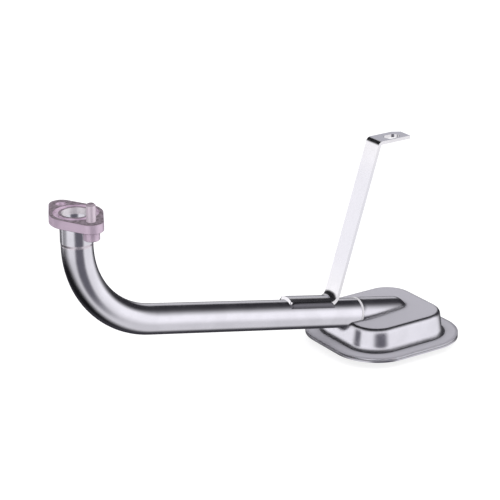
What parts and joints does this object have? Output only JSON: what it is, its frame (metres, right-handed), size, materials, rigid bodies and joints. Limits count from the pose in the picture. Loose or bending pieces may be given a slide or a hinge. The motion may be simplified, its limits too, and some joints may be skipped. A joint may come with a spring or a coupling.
{
  "type": "oil pump intake pipe",
  "caption": "Engine oil pump intake pipe with a two-lobe mounting flange, a bent steel tube, a flat strainer housing and a welded strap bracket.",
  "frame": {"origin": "centre of the oil port on the mounting flange's sealing face", "axes": "+Z out of the sealing face towards the engine, +X along the pipe's level direction towards the strainer, +Y towards the flange's bolt hole"},
  "size_m": [0.3284, 0.099, 0.1659],
  "materials": {
    "cast_flange": "machined",
    "dowel_steel": "ground",
    "tube_steel": "bright plated",
    "bracket_steel": "plated",
    "strainer_steel": "bright plated",
    "screen_steel": "woven wire"
  },
  "bodies": {
    "root": {"mounting_flange": "cast_flange", "locating_dowel": "dowel_steel", "suction_tube": "tube_steel", "support_bracket": "bracket_steel", "strainer_cover": "strainer_steel", "filter_screen": "screen_steel", "strainer_base": "strainer_steel"}
  },
  "joints": []
}
